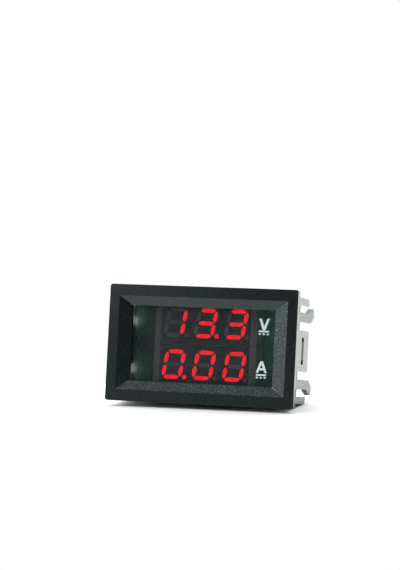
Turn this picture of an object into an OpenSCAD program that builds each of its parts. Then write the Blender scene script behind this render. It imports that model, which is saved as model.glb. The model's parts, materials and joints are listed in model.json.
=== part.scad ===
// Dual-row digital panel meter for a rectangular panel cut-out.
// One moulded case with a sloped bezel, a smoked window, two three-digit
// seven-segment displays on a circuit board, and headers at the open back.
// Frame: X across the bezel, Y into the panel, Z up. The origin is the middle
// of the panel cut-out, on the rear face of the bezel that seats on the panel.

/* [Bezel] */
// Width of the bezel
bezel_w = 48; // [47:0.5:50]
// Height of the bezel
bezel_h = 28.8; // [28.4:0.2:31]
// Thickness of the bezel in front of the panel
bezel_t = 1.9; // [1.7:0.1:2.4]
// Corner radius of the bezel
bezel_r = 0.6; // [0.2:0.1:1.2]
// Width of the sloped frame at the front face
slope_w = 43; // [42:0.5:45]
// Height of the sloped frame at the front face
slope_h = 23.2; // [22.4:0.2:25]
// Depth of the sloped frame
slope_d = 1; // [0.6:0.1:1.4]
// Width of the viewing window
window_w = 36.5; // [35:0.5:38]
// Height of the viewing window
window_h = 18.6; // [18:0.2:19]

/* [Case] */
// Width of the case behind the panel
case_w = 45.2; // [45:0.1:45.4]
// Height of the case behind the panel
case_h = 26.1; // [25.9:0.1:26.4]
// Depth of the top and bottom walls behind the bezel
case_d = 15.1; // [14.8:0.1:16]
// Thickness of the side walls
side_t = 1.2; // [1.1:0.1:1.4]
// Thickness of the top and bottom walls
deck_t = 1.6; // [1.4:0.1:1.7]
// Depth of the unbroken ring of side wall behind the bezel
band_d = 5; // [2.4:0.2:5.2]
// Depth of the board tongues behind the bezel
tongue_d = 15.75; // [14.8:0.05:16.4]
// Width of the board tongues
tongue_w = 10.06; // [9.4:0.02:10.6]

/* [Snap arms] */
// Distance from the middle to the inner edge of a snap arm
arm_in = 7.05; // [6.6:0.05:7.3]
// Distance from the middle to the outer edge of a snap arm
arm_out = 9.4; // [9.1:0.05:9.6]
// Distance from the middle to the tip of the barb
barb_out = 10.75; // [10.4:0.05:11]
// Depth of the snap arms behind the bezel
arm_d = 18.3; // [17.8:0.1:19.2]
// How far the free end of a snap arm leans out past the case wall
arm_lean = 0.62; // [0.2:0.02:0.7]

/* [Displays] */
// Centre of the digit rows, across the bezel
row_x = 0.07; // [-0.3:0.01:0.3]
// Height of the upper row's centre
upper_z = 5.6; // [5.5:0.05:5.7]
// Height of the lower row's centre
lower_z = -4.75; // [-4.85:0.05:-4.7]
// Width of a display body
display_w = 26; // [25:0.5:27]
// Height of a display body
display_h = 10.3; // [10:0.1:10.3]
// Depth of a display body
display_d = 7.1; // [6.1:0.1:7.4]
// Width of the dark face film
film_w = 22.9; // [22.5:0.1:24]
// Spacing of the digits
digit_pitch = 7.78; // [7.4:0.02:7.9]
// Width of a digit over its outer edges, before the slant
digit_w = 5.25; // [4.5:0.05:5.5]
// Height of a digit
digit_h = 7.3; // [6.6:0.1:7.5]
// Width of a segment
segment_t = 1; // [0.8:0.05:1.2]
// Slant of the digits in degrees
slant = 9; // [0:1:12]
// Value on the upper row, most significant digit first
upper_value = [1, 3, 3];
// Value on the lower row, most significant digit first
lower_value = [0, 0, 0];
// Digit of the upper row that has its point lit, counted from 0
upper_point = 1; // [0:1:2]
// Digit of the lower row that has its point lit, counted from 0
lower_point = 0; // [0:1:2]

/* [Board] */
// Width of the circuit board without its tabs
board_w = 42.7; // [40:0.1:42.7]
// Height of the circuit board
board_h = 22.4; // [21.6:0.2:22.6]
// Thickness of the circuit board
board_t = 1.6; // [1.2:0.2:1.6]
// Front face of the board behind the panel plane
board_y = 9.4; // [9.3:0.05:9.5]
// Height of the tabs that key into the tongues
tab_h = 4.5; // [4:0.1:5]

/* [Trimmers] */
// Radius of a trimmer rotor
rotor_r = 1.5; // [1.3:0.05:1.6]
// Running clearance around a rotor
rotor_gap = 0.05; // [0.02:0.01:0.08]

/* [Hidden] */
$fn = 48;

lens_y = 0.1;                       // rear of the window's frame, where the lens seats
lens_t = 1.2;
face_y = lens_y + lens_t + 0.2;     // front of the displays
film_t = 0.25;
back_y = board_y + board_t;         // rear face of the board
pin_pitch = 2.54;
row_span = 7.62;
thru_r = 0.25;                      // display pin
hole_r = 0.45;                      // its hole in the board

// Positions on the rear of the board, [x, z]
current_at = [-11.6, -3.2];
power_at = [11.3, -7.6];
voltage_trim_at = [13.2, 4.6];
current_trim_at = [13.2, -1.4];
shunt_at = [-11.6, 6.1];
mcu_at = [row_x, upper_z];
amp_at = [row_x, lower_z];
reg_at = [-17.3, 6];
diode_at = [13.2, 9.2];
current_pitch = 3.96;
power_pitch = 2;
shunt_span = 7;
shunt_r = 0.65;

// Chip parts on the rear of the board: [x, z, turned]
resistor_at = [[-8.9, 5.2, 1], [-8.9, 2.6, 1], [-17.6, -3.4, 1], [-17.6, -6.4, 1], [8.6, 7.4, 1], [8.6, 4.8, 1],
               [8.6, -3.4, 1], [8.6, 2.2, 1], [5.2, 5.6, 1], [5.2, -4.75, 1], [18.1, 5.6, 1], [18.1, 8.4, 1]];
capacitor_at = [[-5.4, 6.8, 1], [-5.4, 4.4, 1], [-5.4, -3.4, 1], [-5.4, -6.0, 1], [17.2, 1.6, 1]];

// ---- helpers -------------------------------------------------------------

// Extrude an [x, z] outline from y0 to y1
module along_y(y0, y1) translate([0, y1, 0]) rotate([90, 0, 0]) linear_extrude(y1 - y0) children();
// Extrude a [y, z] outline from x0 to x1
module along_x(x0, x1) translate([x0, 0, 0]) rotate([90, 0, 90]) linear_extrude(x1 - x0) children();
// Extrude an [x, y] outline from z0 to z1
module along_z(z0, z1) translate([0, 0, z0]) linear_extrude(z1 - z0) children();
// Box from its two corners
module block(a, b) translate(a) cube(b - a);
// Rectangle with round corners, centred
module round_rect(w, h, r) {
    square([w - 2 * r, h], center = true);
    square([w, h - 2 * r], center = true);
    for (x = [-1, 1], z = [-1, 1]) translate([x * (w / 2 - r), z * (h / 2 - r)]) circle(r);
}
// Rod of radius r along Y
module rod_y(x, z, y0, y1, r) translate([x, y1, z]) rotate([90, 0, 0]) cylinder(h = y1 - y0, r = r);
// Cone along Y, r0 at y0 and r1 at y1
module cone_y(x, z, y0, y1, r0, r1) translate([x, y0, z]) rotate([-90, 0, 0]) cylinder(h = y1 - y0, r1 = r0, r2 = r1);

// ---- case ----------------------------------------------------------------

// Space in front of the window: a frame with four sloped faces, then a straight lip
module bezel_opening() {
    e = 0.5;
    sx = (slope_w - window_w) / 2 / slope_d;
    sz = (slope_h - window_h) / 2 / slope_d;
    intersection() {
        along_z(-20, 20) polygon([
            [-slope_w / 2 - e * sx, -bezel_t - e], [slope_w / 2 + e * sx, -bezel_t - e],
            [window_w / 2, slope_d - bezel_t], [-window_w / 2, slope_d - bezel_t]]);
        along_x(-30, 30) polygon([
            [-bezel_t - e, -slope_h / 2 - e * sz], [slope_d - bezel_t, -window_h / 2],
            [slope_d - bezel_t, window_h / 2], [-bezel_t - e, slope_h / 2 + e * sz]]);
    }
    block([-window_w / 2, slope_d - bezel_t - 0.01, -window_h / 2], [window_w / 2, lens_y + 1, window_h / 2]);
}

// One snap arm on the +X side, above the middle
module snap_arm() {
    x0 = case_w / 2 - side_t;
    x1 = case_w / 2;
    intersection() {
        along_x(0, 40) polygon([
            [band_d - 1, arm_in], [arm_d - 3.1, arm_in], [arm_d, arm_in + 1.75], [arm_d - 0.9, barb_out],
            [arm_d - 1.9, barb_out], [arm_d - 4.6, arm_out], [band_d - 1, arm_out]]);
        along_z(0, 20) polygon([
            [x0, band_d - 1], [x1, band_d - 1], [x1, band_d + 0.4], [x1 + arm_lean, arm_d - 1.2],
            [x1 + arm_lean, arm_d + 1], [x0 + arm_lean, arm_d + 1], [x0 + arm_lean, arm_d - 1.2], [x0, band_d + 0.4]]);
    }
}

// Board tongue on the +X side, with the slot that the board's tab keys into
module tongue() {
    along_x(case_w / 2 - side_t, case_w / 2) difference() {
        translate([0, -tongue_w / 2]) square([tongue_d, tongue_w]);
        translate([board_y - 0.2, -3.3]) square([board_t + 0.4, 6.6]);
    }
}

module housing() {
    x1 = case_w / 2;
    z1 = case_h / 2;
    color([0.15, 0.16, 0.17]) difference() {
        union() {
            along_y(-bezel_t, 0) round_rect(bezel_w, bezel_h, bezel_r);
            block([-x1, -0.2, -z1], [x1, lens_y, z1]);
            for (m = [0, 1]) mirror([0, 0, m]) {
                along_x(-x1, x1) polygon([
                    [-0.2, z1 - deck_t], [case_d, z1 - deck_t], [case_d, z1 - 0.5], [case_d - 1.2, z1], [-0.2, z1]]);
            }
            for (m = [0, 1]) mirror([m, 0, 0]) {
                block([x1 - side_t, -0.2, -z1], [x1, band_d, z1]);
                tongue();
                for (n = [0, 1]) mirror([0, 0, n]) {
                    snap_arm();
                    block([x1 - side_t, band_d - 0.1, z1 - deck_t - 0.25], [x1, case_d, z1 - deck_t + 0.01]);
                    block([board_w / 2 - 1.2, -0.1, board_h / 2 - 1.3], [x1 - side_t + 0.01, board_y, z1 - deck_t + 0.01]);
                }
            }
        }
        bezel_opening();
    }
}

module window_lens() {
    color([0.25, 0.25, 0.27, 0.6])
        block([-20.9, lens_y, -9.7], [20.9, lens_y + lens_t, 9.7]);
}

// ---- displays ------------------------------------------------------------

function lean(p) = [p[0] + p[1] * tan(slant), p[1]];

// Which segments each numeral lights, in the order a to g
NUMERALS = [[1, 1, 1, 1, 1, 1, 0], [0, 1, 1, 0, 0, 0, 0], [1, 1, 0, 1, 1, 0, 1], [1, 1, 1, 1, 0, 0, 1],
            [0, 1, 1, 0, 0, 1, 1], [1, 0, 1, 1, 0, 1, 1], [1, 0, 1, 1, 1, 1, 1], [1, 1, 1, 0, 0, 0, 0],
            [1, 1, 1, 1, 1, 1, 1], [1, 1, 1, 1, 0, 1, 1]];

seg_gap = 0.20;                     // half the gap between the tips of two segments
ht = segment_t / 2;
hw = digit_w / 2 - ht;              // middle line of the upright segments
hh = digit_h / 2 - ht;              // middle line of the top and bottom segments

// Outline of one segment, 0 to 6 for a to g, before the slant: a bar with pointed ends
tip = hw - seg_gap;
function seg_points(k) =
    k == 0 ? [[-tip, hh], [-tip + 0.25, hh + ht - 0.20], [-tip + 0.75, hh + ht], [tip - 0.75, hh + ht], [tip - 0.25, hh + ht - 0.20], [tip, hh],
              [tip - ht + 0.10, hh - ht + 0.10], [tip - ht - 0.28, hh - ht], [-tip + ht + 0.28, hh - ht], [-tip + ht - 0.10, hh - ht + 0.10]] :
    k == 3 ? [for (p = seg_points(0)) [p[0], -p[1]]] :
    k == 6 ? [[-tip, 0], [-tip + ht - 0.10, ht - 0.14], [-tip + ht + 0.28, ht - 0.02], [tip - ht - 0.28, ht - 0.02], [tip - ht + 0.10, ht - 0.14],
              [tip, 0], [tip - ht + 0.10, 0.14 - ht], [tip - ht - 0.28, 0.02 - ht], [-tip + ht + 0.28, 0.02 - ht], [-tip + ht - 0.10, 0.14 - ht]] :
    k == 1 ? [[hw, hh - seg_gap], [hw + ht - 0.18, hh - seg_gap - 0.25], [hw + ht, hh - seg_gap - 0.70], [hw + ht, seg_gap + 0.65], [hw + ht - 0.16, seg_gap + 0.28],
              [hw, seg_gap], [hw - ht + 0.10, seg_gap + ht - 0.06], [hw - ht, seg_gap + ht + 0.26], [hw - ht, hh - seg_gap - ht - 0.26], [hw - ht + 0.10, hh - seg_gap - ht + 0.06]] :
    k == 2 ? [for (p = seg_points(1)) [p[0], -p[1]]] :
    k == 4 ? [for (p = seg_points(1)) [-p[0], -p[1]]] :
             [for (p = seg_points(1)) [-p[0], p[1]]];

// Segments of one digit that are lit (state 1) or dark (state 0)
module digit_outline(value, point, state) {
    for (k = [0 : 6]) if (NUMERALS[value][k] == state) polygon([for (p = seg_points(k)) lean(p)]);
    if (point == state) translate([2.9, -3.1]) circle(0.55, $fn = 32);
}
module row_outline(values, lit_point, state) {
    for (i = [0 : 2]) translate([(i - 1) * digit_pitch, 0])
        digit_outline(values[i], i == lit_point ? 1 : 0, state);
}

// White body with a thin end lip at each side of the film, and four feet on the board
module display_body(z) {
    color([0.86, 0.86, 0.84]) {
        block([row_x - display_w / 2, face_y + film_t, z - display_h / 2], [row_x + display_w / 2, face_y + display_d, z + display_h / 2]);
        for (s = [-1, 1]) {
            block([row_x + s * display_w / 2 - (s > 0 ? (display_w - film_w) / 2 : 0), face_y, z - display_h / 2],
                  [row_x + s * display_w / 2 + (s < 0 ? (display_w - film_w) / 2 : 0), face_y + film_t + 0.01, z + display_h / 2]);
            for (t = [-1, 1]) block([row_x + s * 9 - 0.7, face_y + display_d - 0.01, z + t * 4.2 - 0.7], [row_x + s * 9 + 0.7, board_y, z + t * 4.2 + 0.7]);
        }
    }
}
module display_film(z, values, point) {
    color([0.13, 0.13, 0.14]) translate([row_x, 0, z]) along_y(face_y, face_y + film_t) difference() {
        square([film_w, display_h - 0.3], center = true);
        row_outline(values, point, 0);
        row_outline(values, point, 1);
    }
}
module segments(z, values, point, state)
    translate([row_x, 0, z]) along_y(face_y, face_y + film_t) row_outline(values, point, state);

module upper_display_body() display_body(upper_z);
module lower_display_body() display_body(lower_z);
module upper_display_film() display_film(upper_z, upper_value, upper_point);
module lower_display_film() display_film(lower_z, lower_value, lower_point);
module upper_lit_segments() color([0.95, 0.06, 0.08]) segments(upper_z, upper_value, upper_point, 1);
module upper_unlit_segments() color([0.34, 0.28, 0.28]) segments(upper_z, upper_value, upper_point, 0);
module lower_lit_segments() color([0.95, 0.06, 0.08]) segments(lower_z, lower_value, lower_point, 1);
module lower_unlit_segments() color([0.34, 0.28, 0.28]) segments(lower_z, lower_value, lower_point, 0);

// Twelve pins in two rows, from the body through the board
module pin_grid(z) for (i = [0 : 5], s = [-1, 1]) translate([row_x + (i - 2.5) * pin_pitch, 0, z + s * row_span / 2]) children();
module display_pins(z) color([0.78, 0.78, 0.76]) pin_grid(z) rod_y(0, 0, face_y + display_d, back_y + 1.1, thru_r, $fn = 24);
module upper_display_pins() display_pins(upper_z);
module lower_display_pins() display_pins(lower_z);
module display_solder() color([0.74, 0.75, 0.76]) for (z = [upper_z, lower_z]) pin_grid(z) difference() {
    cone_y(0, 0, back_y, back_y + 0.85, 0.85, 0.38, $fn = 24);
    rod_y(0, 0, back_y - 1, back_y + 2, thru_r, $fn = 24);
}

// ---- board ---------------------------------------------------------------

module main_board() {
    color([0.05, 0.24, 0.16]) along_y(board_y, back_y) difference() {
        union() {
            square([board_w, board_h], center = true);
            square([case_w - 0.1, tab_h], center = true);
        }
        for (z = [upper_z, lower_z], i = [0 : 5], s = [-1, 1])
            translate([row_x + (i - 2.5) * pin_pitch, z + s * row_span / 2]) circle(hole_r);
        for (s = [-1, 1]) {
            translate([current_at[0], current_at[1] + s * current_pitch / 2]) circle(0.9);
            translate([power_at[0] + s * power_pitch / 2, power_at[1]]) circle(0.4);
            translate([shunt_at[0], shunt_at[1] + s * shunt_span / 2]) circle(shunt_r + 0.1);
        }
    }
}

// Bent resistance wire that carries the measured current
module current_shunt() {
    color([0.70, 0.60, 0.48]) {
        r = 1.4;
        top = back_y + 3.4;
        for (s = [-1, 1]) {
            rod_y(shunt_at[0], shunt_at[1] + s * shunt_span / 2, board_y - 0.55, top - r, shunt_r);
            translate([shunt_at[0], top - r, shunt_at[1] + s * (shunt_span / 2 - r)]) rotate([0, -90, 0])
                rotate([0, 0, s > 0 ? 0 : 90]) rotate_extrude(angle = 90) translate([r, 0]) circle(shunt_r);
        }
        translate([shunt_at[0], top, shunt_at[1] - shunt_span / 2 + r]) cylinder(h = shunt_span - 2 * r, r = shunt_r);
    }
}

// Solder on the pins of the headers and the shunt, on the front side of the board,
// and on the shunt's legs at the back
module connector_solder() color([0.74, 0.75, 0.76]) {
    for (s = [-1, 1]) {
        difference() {
            cone_y(current_at[0], current_at[1] + s * current_pitch / 2, board_y - 0.5, board_y, 0.9, 1.25);
            translate([current_at[0] - 0.57, board_y - 3, current_at[1] + s * current_pitch / 2 - 0.57]) cube([1.14, 5, 1.14]);
        }
        difference() {
            cone_y(power_at[0] + s * power_pitch / 2, power_at[1], board_y - 0.5, board_y, 0.4, 0.64);
            translate([power_at[0] + s * power_pitch / 2 - 0.25, board_y - 3, power_at[1] - 0.25]) cube([0.5, 5, 0.5]);
        }
        difference() {
            cone_y(shunt_at[0], shunt_at[1] + s * shunt_span / 2, back_y, back_y + 0.9, 1.35, 0.85);
            rod_y(shunt_at[0], shunt_at[1] + s * shunt_span / 2, back_y - 1, back_y + 2, shunt_r);
        }
        difference() {
            cone_y(shunt_at[0], shunt_at[1] + s * shunt_span / 2, board_y - 0.45, board_y, 0.95, 1.3);
            rod_y(shunt_at[0], shunt_at[1] + s * shunt_span / 2, board_y - 2, board_y + 1, shunt_r);
        }
    }
}

// Two-way header for the measured current: a base and one tall locking wall
module current_header() {
    x = current_at[0];
    z = current_at[1];
    color([0.92, 0.91, 0.88]) difference() {
        union() {
            block([x - 3.6, back_y, z - 4.1], [x + 3.2, back_y + 2.7, z + 4.1]);
            block([x - 3.6, back_y, z - 3.3], [x - 2.5, back_y + 8.2, z + 3.3]);
            block([x - 2.6, back_y + 7.5, z - 3.3], [x - 2.0, back_y + 8.2, z + 3.3]);
            for (s = [-1, 1]) block([x - 2.6, back_y + 2.6, z + s * 3.0 - 0.3], [x - 1.7, back_y + 6.0, z + s * 3.0 + 0.3]);
        }
        for (s = [-1, 1]) translate([x - 0.57, back_y - 1, z + s * current_pitch / 2 - 0.57]) cube([1.14, 12, 1.14]);
    }
}
module current_header_pins() color([0.80, 0.79, 0.75]) for (s = [-1, 1])
    block([current_at[0] - 0.57, board_y - 0.65, current_at[1] + s * current_pitch / 2 - 0.57],
          [current_at[0] + 0.57, back_y + 7.4, current_at[1] + s * current_pitch / 2 + 0.57]);

// Two-way shrouded header for the supply and the sensed voltage
module power_header() {
    x = power_at[0];
    z = power_at[1];
    color([0.93, 0.92, 0.89]) difference() {
        block([x - 3, back_y, z - 2.25], [x + 3, back_y + 6, z + 2.25]);
        block([x - 2.4, back_y + 1.2, z - 1.65], [x + 2.4, back_y + 7, z + 1.65]);
        for (s = [-1, 1]) {
            block([x + s * 1.55 - 0.4, back_y + 1.9, z - 3], [x + s * 1.55 + 0.4, back_y + 7, z - 1.6]);
            translate([x + s * power_pitch / 2 - 0.25, back_y - 1, z - 0.25]) cube([0.5, 4, 0.5]);
        }
    }
}
module power_header_pins() color([0.80, 0.79, 0.75]) for (s = [-1, 1])
    block([power_at[0] + s * power_pitch / 2 - 0.25, board_y - 0.65, power_at[1] - 0.25],
          [power_at[0] + s * power_pitch / 2 + 0.25, back_y + 4.6, power_at[1] + 0.25]);

// ---- trimmers ------------------------------------------------------------

trim_h = 2;          // height of a trimmer base on the board
module trimmer_base(at) {
    color([0.18, 0.32, 0.62]) difference() {
        block([at[0] - 2.1, back_y, at[1] - 2.1], [at[0] + 2.1, back_y + trim_h, at[1] + 2.1]);
        rod_y(at[0], at[1], back_y + 0.6, back_y + 4, rotor_r + rotor_gap);
        rod_y(at[0], at[1], back_y + 0.2, back_y + 4, 0.5 + rotor_gap);
    }
}
module trimmer_rotor(at) {
    top = back_y + trim_h + 0.3;
    color([0.88, 0.87, 0.82]) difference() {
        union() {
            rod_y(at[0], at[1], back_y + 0.66, top, rotor_r);
            rod_y(at[0], at[1], back_y + 0.26, back_y + 0.7, 0.5);
        }
        block([at[0] - 1.1, top - 0.6, at[1] - 0.28], [at[0] + 1.1, top + 1, at[1] + 0.28]);
        block([at[0] - 0.28, top - 0.6, at[1] - 1.1], [at[0] + 0.28, top + 1, at[1] + 1.1]);
    }
}
module voltage_trimmer_base() trimmer_base(voltage_trim_at);
module voltage_trimmer_rotor() trimmer_rotor(voltage_trim_at);
module current_trimmer_base() trimmer_base(current_trim_at);
module current_trimmer_rotor() trimmer_rotor(current_trim_at);
module trimmer_terminals() color([0.78, 0.78, 0.76]) for (at = [voltage_trim_at, current_trim_at]) {
    for (s = [-1, 1]) block([at[0] - 2.7, back_y, at[1] + s * 1.2 - 0.4], [at[0] - 2.1, back_y + 0.7, at[1] + s * 1.2 + 0.4]);
    block([at[0] + 2.1, back_y, at[1] - 0.5], [at[0] + 2.7, back_y + 0.7, at[1] + 0.5]);
}

// ---- integrated circuits and chip parts ------------------------------------

// Outline of one gull-wing lead in [x, y], foot outwards, for a body half as wide as b
function gull(b, reach, y0, rise) = [[b - 0.1, y0 + rise + 0.2], [b - 0.1, y0 + rise], [b + 0.25, y0 + rise], [b + 0.4, y0],
    [reach, y0], [reach, y0 + 0.2], [b + 0.55, y0 + 0.2], [b + 0.4, y0 + rise + 0.2]];

module small_outline(at, b, l, y0, h) {
    color([0.10, 0.10, 0.11]) difference() {
        block([at[0] - b, y0, at[1] - l / 2], [at[0] + b, y0 + h, at[1] + l / 2]);
        rod_y(at[0] - b + 0.75, at[1] + l / 2 - 0.75, y0 + h - 0.1, y0 + h + 1, 0.3, $fn = 24);
    }
}
module leads(at, b, reach, n, pitch, w, rise) {
    color([0.80, 0.80, 0.80]) for (m = [0, 1], i = [0 : n - 1]) translate([at[0], 0, at[1]]) mirror([m, 0, 0])
        along_z((i - (n - 1) / 2) * pitch - w / 2, (i - (n - 1) / 2) * pitch + w / 2) difference() {
            polygon(gull(b, reach, back_y, rise));
            translate([b - 1, back_y]) square([1, 3]);
        }
}
module microcontroller() small_outline(mcu_at, 2.2, 5, back_y + 0.1, 1);
module microcontroller_leads() leads(mcu_at, 2.2, 3.2, 7, 0.65, 0.28, 0.4);
module amplifier() small_outline(amp_at, 1.95, 4.9, back_y + 0.15, 1.45);
module amplifier_leads() leads(amp_at, 1.95, 3.05, 4, 1.17, 0.4, 0.65);

module voltage_regulator() color([0.11, 0.11, 0.12])
    block([reg_at[0] - 2.25, back_y + 0.05, reg_at[1] - 1.2], [reg_at[0] + 2.25, back_y + 1.55, reg_at[1] + 1.2]);
module regulator_leads() color([0.78, 0.78, 0.76]) {
    for (i = [-1, 0, 1]) block([reg_at[0] + i * 1.5 - 0.24, back_y, reg_at[1] - 2.1], [reg_at[0] + i * 1.5 + 0.24, back_y + 0.4, reg_at[1] - 1.2]);
    block([reg_at[0] - 0.9, back_y, reg_at[1] + 1.2], [reg_at[0] + 0.9, back_y + 0.4, reg_at[1] + 1.95]);
}
module protection_diode() color([0.12, 0.12, 0.12])
    block([diode_at[0] - 2.1, back_y + 0.1, diode_at[1] - 1.3], [diode_at[0] + 2.1, back_y + 2.2, diode_at[1] + 1.3]);
module diode_terminals() color([0.80, 0.80, 0.78]) for (s = [-1, 1]) translate([diode_at[0], 0, diode_at[1]]) mirror([s < 0 ? 1 : 0, 0, 0]) {
    block([2.1, back_y, -0.7], [2.65, back_y + 1.2, 0.7]);
}

module chip_at(p) translate([p[0], back_y, p[1]]) rotate([0, p[2] * 90, 0]) children();
module chip_resistors() color([0.09, 0.09, 0.10]) for (p = resistor_at) chip_at(p) block([-0.6, 0.03, -0.6], [0.6, 0.5, 0.6]);
module chip_capacitors() color([0.62, 0.50, 0.36]) for (p = capacitor_at) chip_at(p) block([-0.55, 0.03, -0.6], [0.55, 0.9, 0.6]);
module chip_terminals() color([0.80, 0.80, 0.80]) {
    for (p = resistor_at, s = [-1, 1]) chip_at(p) block([s > 0 ? 0.6 : -0.95, 0, -0.6], [s > 0 ? 0.95 : -0.6, 0.53, 0.6]);
    for (p = capacitor_at, s = [-1, 1]) chip_at(p) block([s > 0 ? 0.55 : -0.9, 0, -0.6], [s > 0 ? 0.9 : -0.55, 0.93, 0.6]);
}

housing();
window_lens();
upper_display_body();
lower_display_body();
upper_display_film();
lower_display_film();
upper_lit_segments();
upper_unlit_segments();
lower_lit_segments();
lower_unlit_segments();
upper_display_pins();
lower_display_pins();
main_board();
display_solder();
current_shunt();
connector_solder();
current_header();
current_header_pins();
power_header();
power_header_pins();
voltage_trimmer_base();
voltage_trimmer_rotor();
current_trimmer_base();
current_trimmer_rotor();
trimmer_terminals();
microcontroller();
microcontroller_leads();
amplifier();
amplifier_leads();
voltage_regulator();
regulator_leads();
protection_diode();
diode_terminals();
chip_resistors();
chip_capacitors();
chip_terminals();
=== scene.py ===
import json
import math

import bmesh
import bpy
from mathutils import Matrix, Vector

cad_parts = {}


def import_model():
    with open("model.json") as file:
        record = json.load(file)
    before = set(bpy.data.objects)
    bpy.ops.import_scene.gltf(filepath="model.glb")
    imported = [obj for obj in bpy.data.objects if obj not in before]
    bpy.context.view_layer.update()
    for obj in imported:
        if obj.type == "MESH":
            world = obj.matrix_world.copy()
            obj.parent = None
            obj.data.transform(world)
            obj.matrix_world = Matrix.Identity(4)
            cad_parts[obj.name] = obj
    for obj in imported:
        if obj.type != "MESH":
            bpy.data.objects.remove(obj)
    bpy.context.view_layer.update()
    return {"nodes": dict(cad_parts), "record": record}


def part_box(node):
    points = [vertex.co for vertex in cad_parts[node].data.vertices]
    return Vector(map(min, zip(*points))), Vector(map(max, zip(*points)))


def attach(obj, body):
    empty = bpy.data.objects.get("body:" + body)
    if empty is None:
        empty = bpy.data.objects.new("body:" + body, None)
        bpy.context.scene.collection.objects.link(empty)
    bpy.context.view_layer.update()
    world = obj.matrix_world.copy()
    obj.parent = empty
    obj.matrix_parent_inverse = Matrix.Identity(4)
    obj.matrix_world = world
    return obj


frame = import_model()
nodes = frame["nodes"]
MM = 0.001
BODY = "meter"


# ---------------------------------------------------------------- materials

def new_mat(name):
    m = bpy.data.materials.new(name)
    m.use_nodes = True
    nt = m.node_tree
    for n in list(nt.nodes):
        nt.nodes.remove(n)
    out = nt.nodes.new("ShaderNodeOutputMaterial")
    bsdf = nt.nodes.new("ShaderNodeBsdfPrincipled")
    nt.links.new(bsdf.outputs[0], out.inputs["Surface"])
    return m, nt, bsdf, out


def coords(nt):
    """Object coordinates in metres: every piece sits at the origin, so they are row coordinates."""
    return nt.nodes.new("ShaderNodeTexCoord").outputs["Object"]


def noise(nt, vec, scale, detail=3.0, rough=0.55, distortion=0.0):
    n = nt.nodes.new("ShaderNodeTexNoise")
    n.inputs["Scale"].default_value = scale
    n.inputs["Detail"].default_value = detail
    n.inputs["Roughness"].default_value = rough
    n.inputs["Distortion"].default_value = distortion
    nt.links.new(vec, n.inputs["Vector"])
    return n.outputs["Fac"]


def ramp(nt, fac, stops):
    r = nt.nodes.new("ShaderNodeValToRGB")
    e = r.color_ramp.elements
    while len(e) < len(stops):
        e.new(0.5)
    for el, (pos, col) in zip(e, stops):
        el.position = pos
        el.color = (*col, 1) if len(col) == 3 else col
    nt.links.new(fac, r.inputs["Fac"])
    return r.outputs["Color"]


def map_range(nt, val, a, b, c, d, smooth=False):
    n = nt.nodes.new("ShaderNodeMapRange")
    if smooth:
        n.interpolation_type = "SMOOTHSTEP"
    n.inputs["From Min"].default_value = a
    n.inputs["From Max"].default_value = b
    n.inputs["To Min"].default_value = c
    n.inputs["To Max"].default_value = d
    nt.links.new(val, n.inputs["Value"])
    return n.outputs["Result"]


def math_node(nt, op, a, b=None):
    n = nt.nodes.new("ShaderNodeMath")
    n.operation = op
    for i, v in enumerate((a, b)):
        if v is None:
            continue
        if isinstance(v, (int, float)):
            n.inputs[i].default_value = v
        else:
            nt.links.new(v, n.inputs[i])
    return n.outputs[0]


def mix_rgb(nt, fac, a, b, mode="MIX"):
    n = nt.nodes.new("ShaderNodeMix")
    n.data_type = "RGBA"
    n.blend_type = mode
    for sock, v in ((n.inputs[0], fac), (n.inputs[6], a), (n.inputs[7], b)):
        if isinstance(v, (int, float)):
            sock.default_value = v
        elif isinstance(v, tuple):
            sock.default_value = (*v, 1) if len(v) == 3 else v
        else:
            nt.links.new(v, sock)
    return n.outputs[2]


def bump(nt, height, strength, distance, normal=None):
    b = nt.nodes.new("ShaderNodeBump")
    b.inputs["Strength"].default_value = strength
    b.inputs["Distance"].default_value = distance
    nt.links.new(height, b.inputs["Height"])
    if normal is not None:
        nt.links.new(normal, b.inputs["Normal"])
    return b.outputs["Normal"]


def plastic(name, col, col2, rough, grain_scale=3000, grain=0.25, grain_depth=0.00003, spec=0.5, ior=1.5):
    """Moulded plastic: two-tone mottling, a fine moulded grain, uneven polish."""
    m, nt, b, _ = new_mat(name)
    v = coords(nt)
    big = noise(nt, v, 120, 3)
    nt.links.new(ramp(nt, big, [(0.35, col), (0.65, col2)]), b.inputs["Base Color"])
    fine = noise(nt, v, grain_scale, 2, 0.6)
    nt.links.new(map_range(nt, noise(nt, v, 400, 3), 0.3, 0.7, rough - 0.04, rough + 0.05), b.inputs["Roughness"])
    nt.links.new(bump(nt, fine, grain, grain_depth), b.inputs["Normal"])
    b.inputs["Specular IOR Level"].default_value = spec
    b.inputs["IOR"].default_value = ior
    return m


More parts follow.
